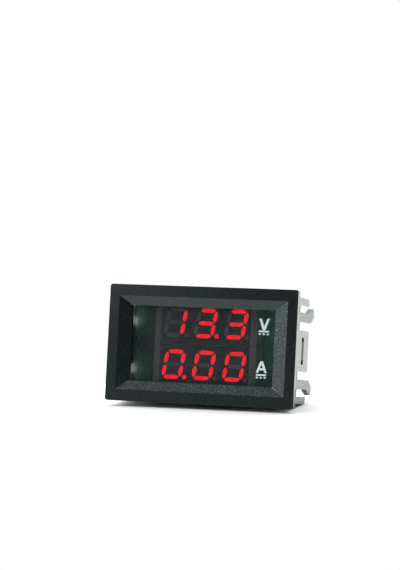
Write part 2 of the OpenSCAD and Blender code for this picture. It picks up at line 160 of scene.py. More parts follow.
def case_plastic():
    """Black moulded plastic: smooth satin flats, a coarser spark-eroded grain on the slopes round the window whose
    light specks are painted stronger on the right and lower slopes as sheen, and a painted glint along the lower
    mitres.
    """
    m, nt, b, _ = new_mat("case_plastic")
    v = coords(nt)
    sep = nt.nodes.new("ShaderNodeSeparateXYZ")
    nt.links.new(v, sep.inputs[0])
    ax = math_node(nt, "ABSOLUTE", sep.outputs["X"])
    az = math_node(nt, "ABSOLUTE", sep.outputs["Z"])
    inside = math_node(nt, "MULTIPLY", math_node(nt, "LESS_THAN", ax, 0.02149), math_node(nt, "LESS_THAN", az, 0.01159))
    inside = math_node(nt, "MULTIPLY", inside, math_node(nt, "LESS_THAN", sep.outputs["Y"], 0.0))
    # how far out each slope a point is, 0 at the window and 1 at the front face; they are equal along the mitres
    tx = map_range(nt, ax, 0.01825, 0.0215, 0.0, 1.0)
    tz = map_range(nt, az, 0.0093, 0.0116, 0.0, 1.0)
    gap = math_node(nt, "SUBTRACT", tx, tz)
    upright = map_range(nt, gap, -0.02, 0.02, 0.0, 1.0)
    # painted sheen: the light grain specks are painted stronger on the right slope, rising towards its top, and on the
    # lower slope; elsewhere they stay faint
    right = math_node(nt, "MULTIPLY", upright, math_node(nt, "GREATER_THAN", sep.outputs["X"], 0.0))
    right = math_node(nt, "MULTIPLY", right, map_range(nt, sep.outputs["Z"], -0.009, 0.006, 0.45, 1.05))
    lower = math_node(nt, "MULTIPLY", math_node(nt, "SUBTRACT", 1.0, upright), math_node(nt, "LESS_THAN", sep.outputs["Z"], 0.0))
    slope_sheen = math_node(nt, "ADD", math_node(nt, "MULTIPLY", right, 0.80), math_node(nt, "MULTIPLY", lower, 0.66))
    grain_and_sheen = math_node(nt, "ADD", math_node(nt, "MULTIPLY", inside, slope_sheen), 0.12)
    # painted highlight: a bright glint line painted along the inner half of the lower mitres, stronger towards the
    # right
    mitre_glint = map_range(nt, math_node(nt, "ABSOLUTE", gap), 0.030, 0.065, 1.0, 0.0)
    mitre_glint = math_node(nt, "MULTIPLY", mitre_glint, math_node(nt, "MULTIPLY", map_range(nt, tx, 0.15, 0.55, 1.0, 0.12), math_node(nt, "GREATER_THAN", tx, 0.001)))
    mitre_glint = math_node(nt, "MULTIPLY", mitre_glint, math_node(nt, "GREATER_THAN", tz, 0.02))
    mitre_glint = math_node(nt, "MULTIPLY", mitre_glint, math_node(nt, "LESS_THAN", sep.outputs["Z"], 0.0))
    mitre_glint = math_node(nt, "MULTIPLY", mitre_glint, map_range(nt, sep.outputs["X"], -0.01, 0.01, 0.15, 0.8))
    mitre_glint = math_node(nt, "MULTIPLY", mitre_glint, inside)
    big = noise(nt, v, 90, 4)
    grain = noise(nt, v, 3200, 2, 0.7)
    tone = ramp(nt, big, [(0.35, (0.0036, 0.0060, 0.0067)), (0.65, (0.0043, 0.0070, 0.0077))])
    # light specks of the moulded grain; their strength carries the painted sheen of the slopes
    speck = ramp(nt, noise(nt, v, 4100, 1, 0.6), [(0.50, (0.0, 0.0, 0.0)), (0.59, (0.020, 0.024, 0.024)), (0.70, (0.170, 0.195, 0.195))])
    speck = mix_rgb(nt, grain_and_sheen, (0, 0, 0), speck)
    colour = mix_rgb(nt, 1.0, tone, speck, "ADD")
    # the painted mitre glint is mixed into the base colour here
    nt.links.new(mix_rgb(nt, mitre_glint, colour, (0.30, 0.33, 0.33)), b.inputs["Base Color"])
    nt.links.new(map_range(nt, grain, 0.32, 0.68, 0.25, 0.33), b.inputs["Roughness"])
    nt.links.new(bump(nt, grain, 0.25, 0.00003), b.inputs["Normal"])
    b.inputs["IOR"].default_value = 1.5
    b.inputs["Specular Tint"].default_value = (0.80, 0.98, 0.98, 1)
    return m


def metal(name, col, rough, scale=1500, depth=0.00001, strength=0.2):
    m, nt, b, _ = new_mat(name)
    v = coords(nt)
    n = noise(nt, v, scale, 3)
    dark = tuple(c * 0.82 for c in col)
    nt.links.new(ramp(nt, n, [(0.3, dark), (0.7, col)]), b.inputs["Base Color"])
    b.inputs["Metallic"].default_value = 1.0
    nt.links.new(map_range(nt, noise(nt, v, scale * 0.4, 2), 0.3, 0.7, rough - 0.05, rough + 0.08), b.inputs["Roughness"])
    nt.links.new(bump(nt, n, strength, depth), b.inputs["Normal"])
    return m


def lens_material():
    """Smoked clear plate: dark, polished, lets part of the light through each face."""
    m, nt, b, _ = new_mat("smoked_lens")
    v = coords(nt)
    nt.links.new(ramp(nt, noise(nt, v, 420, 4), [(0.3, (0.020, 0.028, 0.031)), (0.7, (0.026, 0.034, 0.037))]), b.inputs["Base Color"])
    b.inputs["Alpha"].default_value = 0.44
    b.inputs["IOR"].default_value = 1.78
    b.inputs["Roughness"].default_value = 0.03
    nt.links.new(map_range(nt, noise(nt, v, 60, 3), 0.35, 0.65, 0.025, 0.05), b.inputs["Roughness"])
    nt.links.new(bump(nt, noise(nt, v, 90, 2), 0.05, 0.00002), b.inputs["Normal"])
    return m


def lit_segment():
    """Diffuser over a lit red emitter, its glow varying a little across the segments."""
    m, nt, b, _ = new_mat("segment_lit")
    v = coords(nt)
    n = noise(nt, v, 700, 2)
    b.inputs["Base Color"].default_value = (0.55, 0.02, 0.02, 1)
    b.inputs["Roughness"].default_value = 0.45
    nt.links.new(ramp(nt, n, [(0.3, (1.0, 0.003, 0.010)), (0.7, (1.0, 0.006, 0.015))]), b.inputs["Emission Color"])
    nt.links.new(map_range(nt, n, 0.3, 0.7, 2.15, 2.6), b.inputs["Emission Strength"])
    return m


def film_material():
    m, nt, b, _ = new_mat("display_film")
    v = coords(nt)
    n = noise(nt, v, 200, 3)
    nt.links.new(ramp(nt, n, [(0.3, (0.095, 0.088, 0.098)), (0.7, (0.120, 0.112, 0.124))]), b.inputs["Base Color"])
    nt.links.new(map_range(nt, noise(nt, v, 900, 2), 0.3, 0.7, 0.35, 0.45), b.inputs["Roughness"])
    nt.links.new(bump(nt, noise(nt, v, 2500, 2), 0.15, 0.00002), b.inputs["Normal"])
    return m


def display_material():
    """Display body: pale satin front face, and sides painted dark and greenish as shade and as a reflection of the
    board.
    """
    m, nt, b, _ = new_mat("display_white")
    v = coords(nt)
    sep = nt.nodes.new("ShaderNodeSeparateXYZ")
    nt.links.new(v, sep.inputs[0])
    big = noise(nt, v, 120, 3)
    front = ramp(nt, big, [(0.35, (0.36, 0.335, 0.345)), (0.65, (0.41, 0.385, 0.395))])
    # painted shade: the sides are painted dark, with a green cast as a painted reflection of the board
    shaded_side = ramp(nt, big, [(0.35, (0.045, 0.105, 0.075)), (0.65, (0.060, 0.130, 0.092))])
    nt.links.new(mix_rgb(nt, map_range(nt, sep.outputs["Y"], 0.0019, 0.0021, 0.0, 1.0), front, shaded_side), b.inputs["Base Color"])
    nt.links.new(map_range(nt, noise(nt, v, 400, 3), 0.3, 0.7, 0.41, 0.50), b.inputs["Roughness"])
    nt.links.new(bump(nt, noise(nt, v, 3000, 2, 0.6), 0.25, 0.00003), b.inputs["Normal"])
    return m


def board_material():
    """Green solder mask with faint weave and darker patches between the copper areas."""
    m, nt, b, _ = new_mat("board_green")
    v = coords(nt)
    n = noise(nt, v, 160, 4)
    base = ramp(nt, n, [(0.3, (0.020, 0.130, 0.074)), (0.7, (0.030, 0.165, 0.095))])
    w = nt.nodes.new("ShaderNodeTexWave")
    w.inputs["Scale"].default_value = 900
    w.inputs["Distortion"].default_value = 0.4
    w.wave_type = "BANDS"
    w.bands_direction = "X"
    nt.links.new(v, w.inputs["Vector"])
    weave = map_range(nt, w.outputs["Fac"], 0, 1, 0.92, 1.06)
    col = mix_rgb(nt, 1.0, base, (1, 1, 1), "MULTIPLY")
    hsv = nt.nodes.new("ShaderNodeHueSaturation")
    nt.links.new(weave, hsv.inputs["Value"])
    nt.links.new(col, hsv.inputs["Color"])
    nt.links.new(hsv.outputs[0], b.inputs["Base Color"])
    nt.links.new(map_range(nt, n, 0.3, 0.7, 0.28, 0.38), b.inputs["Roughness"])
    nt.links.new(bump(nt, w.outputs["Fac"], 0.15, 0.00001), b.inputs["Normal"])
    return m


MATS = {
    "housing_plastic": case_plastic(),
    "smoked_lens": lens_material(),
    "display_white": display_material(),
    "display_film": film_material(),
    "segment_lit": lit_segment(),
    "segment_unlit": plastic("segment_unlit", (0.30, 0.235, 0.255), (0.34, 0.265, 0.285), 0.5, 1800, 0.1),
    "tinned_pin": metal("tinned_pin", (0.64, 0.63, 0.60), 0.30),
    "board_green": board_material(),
    "solder": metal("solder", (0.58, 0.59, 0.60), 0.26, 900, 0.00004, 0.4),
    "shunt_wire": metal("shunt_wire", (0.62, 0.47, 0.33), 0.32, 2200),
    "header_plastic": plastic("header_plastic", (0.72, 0.70, 0.63), (0.78, 0.76, 0.69), 0.42),
    "trimmer_blue": plastic("trimmer_blue", (0.02, 0.09, 0.36), (0.03, 0.12, 0.44), 0.4),
    "trimmer_white": plastic("trimmer_white", (0.70, 0.67, 0.57), (0.76, 0.73, 0.63), 0.42),
    "chip_black": plastic("chip_black", (0.012, 0.012, 0.013), (0.02, 0.02, 0.021), 0.5, 2400, 0.5, 0.00004),
    "resistor_black": plastic("resistor_black", (0.008, 0.008, 0.012), (0.014, 0.014, 0.018), 0.25, 1500, 0.1),
    "capacitor_tan": plastic("capacitor_tan", (0.36, 0.23, 0.13), (0.42, 0.28, 0.17), 0.45, 2000, 0.2),
}
slot_of = {s["node"]: s["material_slot"] for s in frame["record"]["subparts"]}


def dress(obj, mat):
    obj.data.materials.clear()
    obj.data.materials.append(mat)
    for p in obj.data.polygons:
        p.material_index = 0


def soften(obj, width, segments=2, angle=30.0):
    """Join the solid's shared corners, drop the extra lines on its flat faces, and break its sharp edges."""
    w = obj.modifiers.new("weld", "WELD")
    w.merge_threshold = 1e-7
    d = obj.modifiers.new("flat", "DECIMATE")
    d.decimate_type = "DISSOLVE"
    d.angle_limit = math.radians(0.5)
    if width > 0:
        b = obj.modifiers.new("edge", "BEVEL")
        b.width = width
        b.segments = segments
        b.limit_method = "ANGLE"
        b.angle_limit = math.radians(angle)
        b.harden_normals = False
        b.use_clamp_overlap = True


for name, obj in nodes.items():
    dress(obj, MATS[slot_of[name]])

EDGE = {
    "housing": 0.10, "upper_display_body": 0.1, "lower_display_body": 0.1, "window_lens": 0.12,
    "main_board": 0.04, "current_header": 0.12, "power_header": 0.1, "voltage_trimmer_base": 0.08,
    "current_trimmer_base": 0.08, "voltage_trimmer_rotor": 0.05, "current_trimmer_rotor": 0.05,
    "microcontroller": 0.06, "amplifier": 0.06, "voltage_regulator": 0.08, "protection_diode": 0.1,
    "current_header_pins": 0.15, "power_header_pins": 0.07, "chip_capacitors": 0.04, "chip_resistors": 0.03,
    "chip_terminals": 0.04, "trimmer_terminals": 0.06, "diode_terminals": 0.06, "regulator_leads": 0.04,
}
for name, w in EDGE.items():
    soften(nodes[name], w * MM)


# ---------------------------------------------------------------- made here

def mesh_piece(name, build, mat, body=BODY, smooth=False):
    me = bpy.data.meshes.new(name)
    bm = bmesh.new()
    build(bm)
    bmesh.ops.recalc_face_normals(bm, faces=bm.faces)
    bm.to_mesh(me)
    bm.free()
    ob = bpy.data.objects.new(name, me)
    bpy.context.scene.collection.objects.link(ob)
    me.materials.append(mat)
    if smooth:
        for p in me.polygons:
            p.use_smooth = True
    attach(ob, body)
    return ob


def prism(bm, pts, y0, y1):
    """Solid between y0 and y1 with the [x, z] outline pts, in millimetres."""
    a = [bm.verts.new((x * MM, y0 * MM, z * MM)) for x, z in pts]
    b = [bm.verts.new((x * MM, y1 * MM, z * MM)) for x, z in pts]
    n = len(pts)
    bm.faces.new(a)
    bm.faces.new(list(reversed(b)))
    for i in range(n):
        bm.faces.new((a[i], b[i], b[(i + 1) % n], a[(i + 1) % n]))


def quad_strip(bm, p, q, w, y0, y1):
    """A straight stroke from p to q of width w."""
    dx, dz = q[0] - p[0], q[1] - p[1]
    l = math.hypot(dx, dz)
    nx, nz = -dz / l * w / 2, dx / l * w / 2
    prism(bm, [(p[0] + nx, p[1] + nz), (q[0] + nx, q[1] + nz), (q[0] - nx, q[1] - nz), (p[0] - nx, p[1] - nz)], y0, y1)


# White unit marks printed on the front of the window: V and A, each over a direct-current sign
lens_lo, lens_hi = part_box("window_lens")
lens_front = lens_lo.y / MM
PRINT = 0.03


def unit_marks(bm):
    y0, y1 = lens_front - PRINT, lens_front
    # V
    cx, top, bot, hw, t = 15.32, 7.24, 4.44, 1.34, 0.62
    prism(bm, [(cx - hw, top), (cx - hw + t, top), (cx, bot + 0.95), (cx + hw - t, top), (cx + hw, top),
               (cx + 0.33, bot), (cx - 0.33, bot)], y0, y1)
    # A, in three strokes that meet
    ax, atop, abot, ahw = 15.12, -3.12, -5.92, 1.38
    prism(bm, [(ax - ahw, abot), (ax - 0.33, atop), (ax + 0.33, atop), (ax + ahw, abot), (ax + ahw - 0.64, abot),
               (ax + 0.62, abot + 0.62), (ax + 0.40, abot + 1.12), (ax, atop - 0.82), (ax - 0.40, abot + 1.12),
               (ax + 0.40, abot + 1.12), (ax + 0.62, abot + 0.62), (ax - 0.62, abot + 0.62), (ax - ahw + 0.64, abot)], y0, y1)
    for mx, mz in ((15.28, 4.12), (15.08, -6.45)):
        prism(bm, [(mx - 1.28, mz + 0.20), (mx + 1.28, mz + 0.20), (mx + 1.28, mz - 0.19), (mx - 1.28, mz - 0.19)], y0, y1)
        for k in (-1, 0, 1):
            c = mx + k * 1.0
            prism(bm, [(c - 0.28, mz - 0.45), (c + 0.28, mz - 0.45), (c + 0.28, mz - 0.83), (c - 0.28, mz - 0.83)], y0, y1)


m, nt, b, _ = new_mat("unit_print")
v = coords(nt)
nt.links.new(ramp(nt, noise(nt, v, 1800, 3), [(0.25, (0.58, 0.70, 0.72)), (0.75, (0.70, 0.80, 0.82))]), b.inputs["Base Color"])
nt.links.new(map_range(nt, noise(nt, v, 900, 2), 0.3, 0.7, 0.5, 0.65), b.inputs["Roughness"])
b.inputs["Emission Color"].default_value = (0.62, 0.74, 0.78, 1)
b.inputs["Emission Strength"].default_value = 0.0
MATS["unit_print"] = m
mesh_piece("unit_marks", unit_marks, MATS["unit_print"])


# ---------------------------------------------------------------- board

BOARD_LO, BOARD_HI = (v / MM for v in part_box("main_board"))
BOARD_EDGE = max(abs((nodes["main_board"].matrix_world @ v.co).x) for v in nodes["main_board"].data.vertices if abs(v.co.z) > 0.004) / MM
BACK = BOARD_HI.y
FRONT = BOARD_LO.y
COPPER = 0.035


def islands(name):
    """Box of each separate solid of a CAD node, in millimetres."""
    me = nodes[name].data
    bm = bmesh.new()
    bm.from_mesh(me)
    bmesh.ops.remove_doubles(bm, verts=bm.verts, dist=1e-7)
    seen, out = set(), []
    for start in bm.verts:
        if start.index in seen:
            continue
        stack, group = [start], []
        seen.add(start.index)
        while stack:
            v = stack.pop()
            group.append(v.co)
            for e in v.link_edges:
                o = e.other_vert(v)
                if o.index not in seen:
                    seen.add(o.index)
                    stack.append(o)
        out.append(tuple((min(c[i] for c in group) / MM, max(c[i] for c in group) / MM) for i in range(3)))
    bm.free()
    return out


def disc(bm, x, z, r, y0, y1, n=24):
    prism(bm, [(x + r * math.cos(2 * math.pi * i / n), z + r * math.sin(2 * math.pi * i / n)) for i in range(n)], y0, y1)


def ring(bm, x, z, r0, r1, y0, y1, n=24):
    """Flat washer from radius r0 to r1."""
    loops = []
    for r, y in ((r0, y0), (r1, y0), (r1, y1), (r0, y1)):
        loops.append([bm.verts.new(((x + r * math.cos(2 * math.pi * i / n)) * MM, y * MM,
                                    (z + r * math.sin(2 * math.pi * i / n)) * MM)) for i in range(n)])
    for a in range(4):
        p, q = loops[a], loops[(a + 1) % 4]
        for i in range(n):
            j = (i + 1) % n
            bm.faces.new((p[i], p[j], q[j], q[i]))


def rect(bm, x0, z0, x1, z1, y0, y1):
    prism(bm, [(x0, z0), (x1, z0), (x1, z1), (x0, z1)], y0, y1)


def outline(bm, x0, z0, x1, z1, w, y0, y1):
    rect(bm, x0, z0, x1, z0 + w, y0, y1)
    rect(bm, x0, z1 - w, x1, z1, y0, y1)
    rect(bm, x0, z0 + w, x0 + w, z1 - w, y0, y1)
    rect(bm, x1 - w, z0 + w, x1, z1 - w, y0, y1)


def track(bm, pts, w, y0, y1):
    """One mitred copper track along the [x, z] points."""
    left, right_ = [], []
    n = len(pts)
    for i, (x, z) in enumerate(pts):
        dirs = []
        if i > 0:
            dirs.append((x - pts[i - 1][0], z - pts[i - 1][1]))
        if i < n - 1:
            dirs.append((pts[i + 1][0] - x, pts[i + 1][1] - z))
        units = [(dx / math.hypot(dx, dz), dz / math.hypot(dx, dz)) for dx, dz in dirs]
        mx = sum(u[0] for u in units)
        mz = sum(u[1] for u in units)
        l = math.hypot(mx, mz)
        mx, mz = mx / l, mz / l
        k = w / 2 / max(0.5, mx * units[0][0] + mz * units[0][1])
        left.append((x - mz * k, z + mx * k))
        right_.append((x + mz * k, z - mx * k))
    for i in range(n - 1):
        prism(bm, [left[i], left[i + 1], right_[i + 1], right_[i]], y0, y1)


REAR_TRACKS = [
    (0.3, [(3.4, 7.55), (4.1, 7.55), (5.4, 8.85), (6.42, 9.41)]), (0.3, [(3.4, 6.9), (4.7, 6.9), (5.2, 6.4)]),
    (0.3, [(3.4, 4.3), (4.7, 4.3), (5.2, 4.8)]), (0.3, [(3.4, 3.65), (3.88, 3.17), (3.88, 1.79)]),
    (0.3, [(5.2, 4.8), (5.2, 3.3), (6.42, 2.1), (6.42, 1.79)]), (0.4, [(8.6, 8.2), (8.6, 9.6), (7.6, 10.6), (-1.9, 10.6)]),
    (0.4, [(8.6, 6.6), (8.6, 5.6)]), (0.4, [(8.6, 4.0), (8.6, 3.0)]), (0.3, [(10.5, 3.4), (9.2, 3.4), (8.6, 2.9)]),
    (0.3, [(10.5, 5.8), (9.9, 5.8), (9.6, 6.1), (9.6, 8.3), (8.6, 9.3)]),
    (0.4, [(15.9, 4.6), (16.6, 4.6), (17.2, 4.0), (17.2, 2.4)]), (0.4, [(15.9, -1.4), (16.6, -1.4), (17.2, -0.8), (17.2, 0.8)]),
    (0.3, [(10.5, -0.2), (9.4, -0.2), (8.6, 0.6), (8.6, 1.4)]), (0.3, [(10.5, -2.6), (8.6, -2.6)]),
    (0.3, [(8.6, -4.2), (8.0, -4.8), (7.4, -4.8)]), (0.3, [(3.2, -4.17), (4.6, -4.17), (5.2, -3.97)]),
    (0.3, [(3.2, -5.33), (4.6, -5.33), (5.2, -5.53)]), (0.3, [(3.2, -3.0), (3.88, -2.32), (3.88, -0.94)]),
    (0.3, [(3.2, -6.5), (3.88, -7.18), (3.88, -8.56)]), (0.3, [(-3.1, -3.0), (-4.8, -3.0), (-5.4, -2.6)]),
    (0.3, [(-3.1, -6.5), (-4.9, -6.5), (-5.4, -6.8)]), (0.4, [(-5.4, -4.15), (-5.4, -5.25)]),
    (0.3, [(-3.1, 7.55), (-3.74, 8.19), (-3.74, 9.41)]), (0.3, [(-3.1, 6.9), (-4.3, 6.9), (-5.4, 7.5)]),
    (0.3, [(-3.1, 3.65), (-3.74, 3.01), (-3.74, 1.79)]), (0.3, [(-3.1, 4.3), (-4.6, 4.3), (-5.4, 3.7)]),
    (0.4, [(-5.4, 6.1), (-5.4, 5.15)]), (0.9, [(-17.3, 4.0), (-17.3, -0.6), (-17.6, -0.9), (-17.6, -2.6)]),
    (0.4, [(-8.9, 6.0), (-8.9, 7.4), (-7.0, 9.3), (-6.28, 9.41)]), (0.4, [(-8.9, 4.4), (-8.9, 3.4)]),
    (0.4, [(-8.9, 1.8), (-8.9, 1.3), (-7.0, -0.6), (-6.28, -0.94)]), (0.4, [(-6.28, -8.56), (-7.6, -9.88), (-17.0, -9.88), (-17.6, -9.28), (-17.6, -7.2)]),
    (0.4, [(-17.6, -4.2), (-17.6, -5.6)]), (0.3, [(-1.2, 1.79), (-1.2, -0.94)]), (0.3, [(1.34, 1.79), (1.34, -0.94)]),
    (0.3, [(-3.74, 1.79), (-3.74, 0.9), (-2.3, -0.5), (-2.3, -1.9), (-1.2, -8.0), (-1.2, -8.56)]), (0.4, [(18.1, 7.6), (18.1, 6.4)]),
    (0.4, [(18.1, 9.2), (18.1, 9.9), (17.4, 10.6), (10.0, 10.6)]), (0.4, [(18.1, 4.8), (18.1, 3.9), (17.2, 3.0)]),
    (0.9, [(15.9, 9.2), (19.4, 9.2), (19.9, 8.7), (19.9, -7.4), (18.3, -9.0), (14.6, -9.0)]),
    (3.4, [(-11.6, 2.2), (-11.6, -0.8)]), (0.9, [(-13.2, 9.6), (-19.2, 9.6), (-19.9, 8.9), (-19.9, -8.2)]),
    (0.3, [(6.42, -0.94), (7.3, -1.8), (7.3, -4.4)]), (0.3, [(6.42, -8.56), (7.4, -9.5), (8.1, -10.2), (18.4, -10.2), (19.0, -9.6)]),
    (0.3, [(-1.9, 10.6), (-2.9, 9.6)]), (0.3, [(0.9, 9.9), (5.4, 9.9)]),
]
FRONT_POUR = [(-20.7, -10.9, -18.4, 10.9), (-17.4, -10.9, -13.0, 10.9), (13.0, -10.9, 17.0, 10.9), (18.4, -10.9, 20.7, 10.9)]
FRONT_TRACKS = [ (0.4, [(-17.9, -9.9), (-17.9, 9.9)]),
    (0.5, [(17.7, -9.9), (17.7, 9.9)]),
]
VIAS = [(-1.9, 10.6), (7.3, -4.8), (-7.9, 8.3), (-19.9, 1.6), (-19.9, -1.4), (-19.9, -8.2), (19.9, 1.2), (19.9, -3.2), (17.5, -6.4),
        (15.9, -4.2), (16.9, -8.0), (10.0, 10.6), (0.9, 9.9), (5.4, 9.9), (-1.9, 0.4), (0.5, 0.6), (2.4, 0.2), (-4.9, 0.4),
        (-14.8, -9.88), (-9.6, -9.88), (18.4, -10.2), (9.6, 8.3), (-2.3, -1.9), (-7.4, 4.0), (6.9, 6.2), (-14.9, 2.0), (-19.0, -5.0),
        (9.8, 1.0), (-16.0, 9.6), (-7.2, -5.0)]


def rear_tracks(bm):
    for w, pts in REAR_TRACKS:
        track(bm, pts, w, BACK, BACK + COPPER)


def front_tracks(bm):
    for w, pts in FRONT_TRACKS:
        track(bm, pts, w, FRONT - COPPER, FRONT)
    for b in FRONT_POUR:
        rect(bm, *b, FRONT - COPPER, FRONT)


def vias(bm):
    for x, z in VIAS:
        ring(bm, x, z, 0.17, 0.36, BACK, BACK + COPPER + 0.012, 16)
        if abs(x) > 13.5:
            ring(bm, x, z, 0.17, 0.36, FRONT - COPPER - 0.012, FRONT, 16)


# painted shade: dark discs laid in the via holes stand for the shade inside them
def via_shade_discs(bm):
    for x, z in VIAS:
        disc(bm, x, z, 0.17, BACK, BACK + 0.01, 12)
        if abs(x) > 13.5:
            disc(bm, x, z, 0.17, FRONT - 0.01, FRONT, 12)


def solder_pads(bm):
    y0, y1 = BACK, BACK + COPPER + 0.015
    for name in ("chip_terminals", "trimmer_terminals", "diode_terminals", "regulator_leads"):
        for (ax, bx), _, (az, bz) in islands(name):
            rect(bm, ax - 0.16, az - 0.16, bx + 0.16, bz + 0.16, y0, y1)
    for name in ("microcontroller_leads", "amplifier_leads"):
        for (ax, bx), _, (az, bz) in islands(name):
            if ax > 0:
                rect(bm, bx - 0.65, az - 0.04, bx + 0.3, bz + 0.04, y0, y1)
            else:
                rect(bm, ax - 0.3, az - 0.04, ax + 0.65, bz + 0.04, y0, y1)
    for (ax, bx), _, (az, bz) in islands("display_solder"):
        ring(bm, (ax + bx) / 2, (az + bz) / 2, 0.6, (bx - ax) / 2 + 0.16, y0, y1)
    for (ax, bx), (ay, by), (az, bz) in islands("connector_solder"):
        if by > BACK + 0.1:
            ring(bm, (ax + bx) / 2, (az + bz) / 2, 0.8, (bx - ax) / 2 + 0.3, y0, y1)


def silk(bm):
    """White component outlines and polarity bars; no letters."""
    w, y0, y1 = 0.13, BACK, BACK + 0.022
    boxes = []
    for name, m in (("microcontroller", 0.0), ("amplifier", 0.0), ("voltage_regulator", 0.3), ("voltage_trimmer_base", 0.75),
                    ("current_trimmer_base", 0.75), ("current_header", 0.3), ("power_header", 0.3)):
        lo, hi = (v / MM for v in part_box(name))
        if m:
            boxes.append((lo.x - m, lo.z - m if "trimmer" not in name else lo.z - 0.2, hi.x + m, hi.z + m if "trimmer" not in name else hi.z + 0.2))
        else:
            rect(bm, lo.x, hi.z + 0.25, hi.x, hi.z + 0.25 + w, y0, y1)
            rect(bm, lo.x, lo.z - 0.25 - w, hi.x, lo.z - 0.25, y0, y1)
            disc(bm, lo.x - 0.55, hi.z + 0.3, 0.16, y0, y1, 16)
    for name in ("chip_resistors", "chip_capacitors"):
        for (ax, bx), _, (az, bz) in islands(name):
            boxes.append((ax - 0.34, az - 0.72, bx + 0.34, bz + 0.72))
    lo, hi = (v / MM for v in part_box("protection_diode"))
    boxes.append((lo.x - 0.95, lo.z - 0.25, hi.x + 0.95, hi.z + 0.25))
    rect(bm, hi.x + 1.15, lo.z - 0.1, hi.x + 1.4, hi.z + 0.1, y0, y1)
    for b in boxes:
        outline(bm, *b, w, y0, y1)
    # plus and minus beside the header pins
    for cx, cz, plus in ((-7.6, -1.2, False), (-7.6, -5.2, True), (15.2, -6.6, True), (15.2, -8.6, False)):
        rect(bm, cx - 0.5, cz - 0.09, cx + 0.5, cz + 0.09, y0, y1)
        if plus:
            rect(bm, cx - 0.09, cz + 0.09, cx + 0.09, cz + 0.5, y0, y1)
            rect(bm, cx - 0.09, cz - 0.5, cx + 0.09, cz - 0.09, y0, y1)


def track_material():
    """Solder mask where copper lies under it: lighter and smoother than the bare laminate."""
    m, nt, b, _ = new_mat("board_track")
    v = coords(nt)
    n = noise(nt, v, 260, 3)
    nt.links.new(ramp(nt, n, [(0.3, (0.040, 0.205, 0.120)), (0.7, (0.055, 0.245, 0.145))]), b.inputs["Base Color"])
    nt.links.new(map_range(nt, n, 0.3, 0.7, 0.24, 0.34), b.inputs["Roughness"])
    nt.links.new(bump(nt, noise(nt, v, 1500, 2), 0.12, 0.00001), b.inputs["Normal"])
    return m


def edge_material():
    """Cut edge of the laminate: dull, with the glass layers showing as lines along it."""
    m, nt, b, _ = new_mat("board_edge")
    v = coords(nt)
    w = nt.nodes.new("ShaderNodeTexWave")
    w.wave_type = "BANDS"
    w.bands_direction = "Y"
    w.inputs["Scale"].default_value = 1100
    w.inputs["Distortion"].default_value = 1.2
    w.inputs["Detail"].default_value = 2
    nt.links.new(v, w.inputs["Vector"])
    layers = ramp(nt, w.outputs["Fac"], [(0.2, (0.050, 0.108, 0.050)), (0.8, (0.105, 0.195, 0.098))])
    rough = noise(nt, v, 1800, 3)
    nt.links.new(mix_rgb(nt, 0.35, layers, ramp(nt, rough, [(0.3, (0.05, 0.12, 0.058)), (0.7, (0.135, 0.235, 0.13))])), b.inputs["Base Color"])
    nt.links.new(map_range(nt, rough, 0.3, 0.7, 0.72, 0.9), b.inputs["Roughness"])
    nt.links.new(bump(nt, rough, 0.4, 0.00003), b.inputs["Normal"])
    b.inputs["Specular IOR Level"].default_value = 0.25
    return m


def board_edges(bm):
    """Cut edges of the laminate, on the tabs that show in the slots of the case and round the rest of the board."""
    t, hz = 0.02, 2.25
    for s in (-1, 1):
        x = s * BOARD_HI.x
        prism(bm, [(x - s * 0.001, -hz), (x + s * t, -hz), (x + s * t, hz), (x - s * 0.001, hz)], FRONT + 0.03, BACK - 0.03)
        e = s * BOARD_EDGE
        for z0, z1 in ((-BOARD_HI.z, -hz), (hz, BOARD_HI.z)):
            prism(bm, [(e, z0), (e + s * t, z0), (e + s * t, z1), (e, z1)], FRONT + 0.03, BACK - 0.03)
        z = s * BOARD_HI.z
        prism(bm, [(-BOARD_EDGE, z), (BOARD_EDGE, z), (BOARD_EDGE, z + s * t), (-BOARD_EDGE, z + s * t)], FRONT + 0.03, BACK - 0.03)


MATS["board_edge"] = edge_material()
mesh_piece("board_edges", board_edges, MATS["board_edge"])
MATS["board_track"] = track_material()
MATS["silk_print"] = plastic("silk_print", (0.72, 0.73, 0.70), (0.80, 0.81, 0.78), 0.6, 2600, 0.3, 0.00001)
# painted shade: near-black colour for the discs in the via holes
MATS["via_shade"] = plastic("via_shade", (0.010, 0.016, 0.012), (0.016, 0.024, 0.018), 0.6, 2600, 0.1, 0.00001)
mesh_piece("rear_tracks", rear_tracks, MATS["board_track"])
mesh_piece("front_tracks", front_tracks, MATS["board_track"])
mesh_piece("vias", vias, MATS["tinned_pin"])
mesh_piece("via_shade_discs", via_shade_discs, MATS["via_shade"])
mesh_piece("solder_pads", solder_pads, MATS["solder"])
mesh_piece("component_outlines", silk, MATS["silk_print"])


# ---------------------------------------------------------------- stage

FLOOR_Z = -14.4 - 0.95        # height of the floor at the rear edge of the bezel, mm
FLOOR_SLOPE = 2.13 / 13.9     # the meter leans back on the rear edge of its bottom wall


